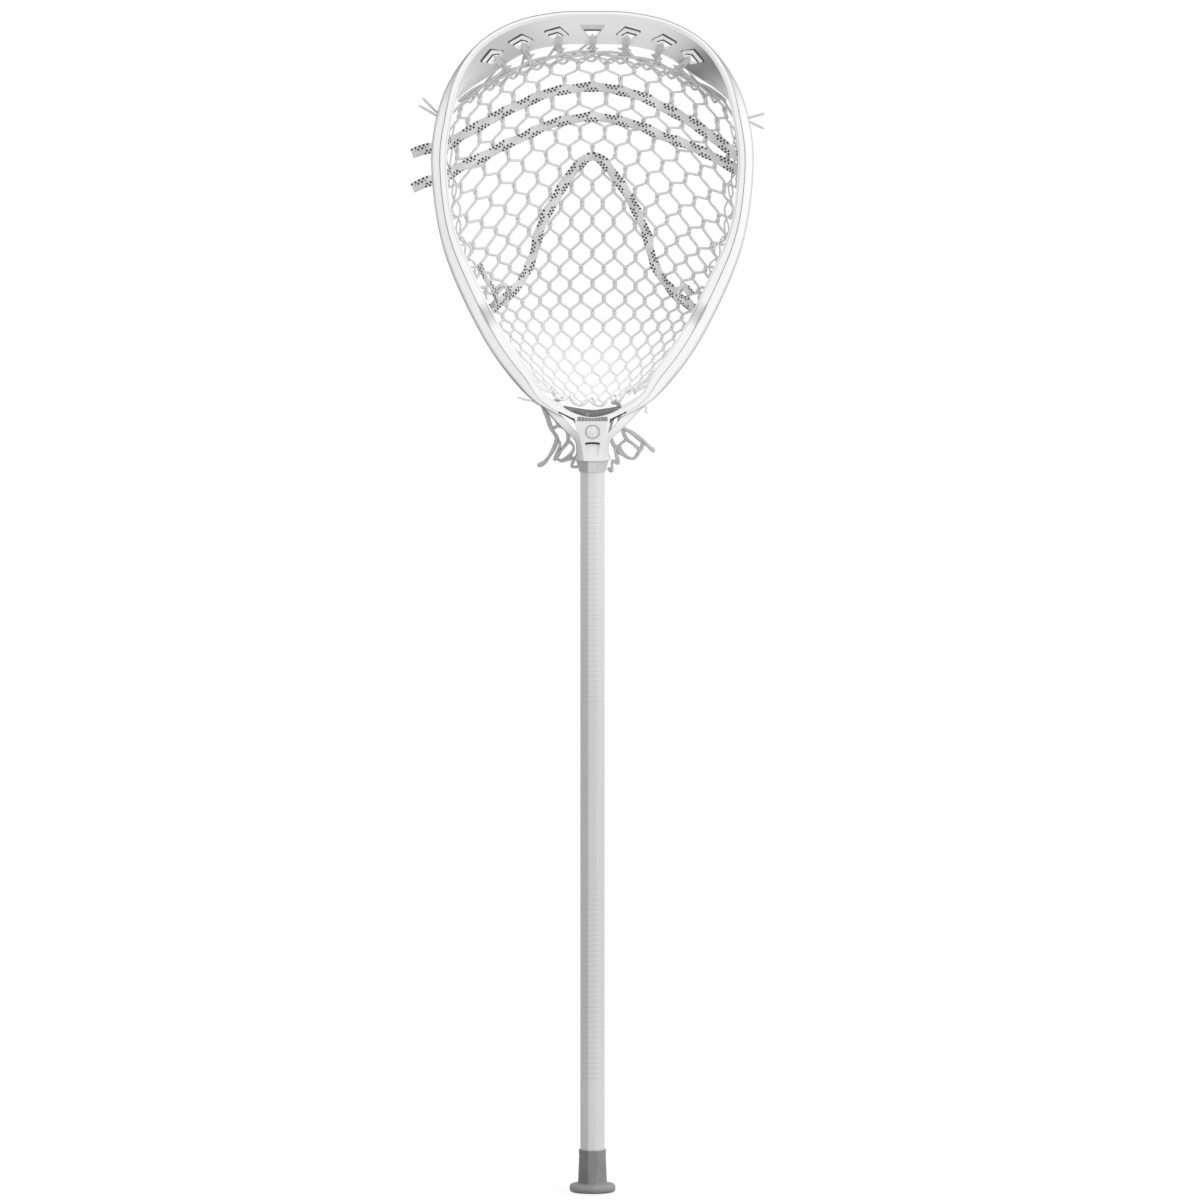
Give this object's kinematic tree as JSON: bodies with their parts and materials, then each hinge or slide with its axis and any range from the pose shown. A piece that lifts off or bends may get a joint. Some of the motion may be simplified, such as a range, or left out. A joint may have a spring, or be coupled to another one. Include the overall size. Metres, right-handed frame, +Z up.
{
  "type": "lacrosse goalie stick",
  "caption": "Lacrosse goalie stick: wide moulded head with scoop, rails and windows, a deep knotted net pocket, an octagonal tube shaft and a rubber butt end that pulls off",
  "frame": {"origin": "centre of the flat bottom of the end cap", "axes": "+Z up along the shaft towards the head, -Y the ball side that faces the camera, +Y the side to which the pocket sags, X across the head"},
  "size_m": [0.366, 0.1306, 1.2322],
  "materials": {
    "nylon": "white moulded nylon, satin to gloss",
    "foam": "dark grey foam, matt",
    "badge": "off-white disc, bare",
    "ferrule": "grey plastic, satin",
    "screw": "plated steel",
    "tube": "silver satin tube",
    "rubber": "grey rubber, matt",
    "net": "off-white knotted cord",
    "string": "off-white braided cord",
    "lace": "off-white flat woven lace"
  },
  "bodies": {
    "stick": {"head_frame": "nylon", "ball_stop": "foam", "throat_badge": "badge", "throat_collar": "ferrule", "head_screw": "screw", "shaft": "tube", "pocket_net": "net", "top_string": "string", "sidewall_string_left": "string", "sidewall_string_right": "string", "bottom_string": "string", "shooting_lace_upper": "lace", "shooting_lace_lower": "lace", "v_lace": "lace", "net_tail_left": "net", "net_tail_right": "net"},
    "end_cap": {"end_cap": "rubber"}
  },
  "joints": [
    {"name": "end_cap_pull", "type": "slide", "parent": "stick", "child": "end_cap", "axis": [0, 0, -1], "range_m": [0, 0.05]}
  ]
}
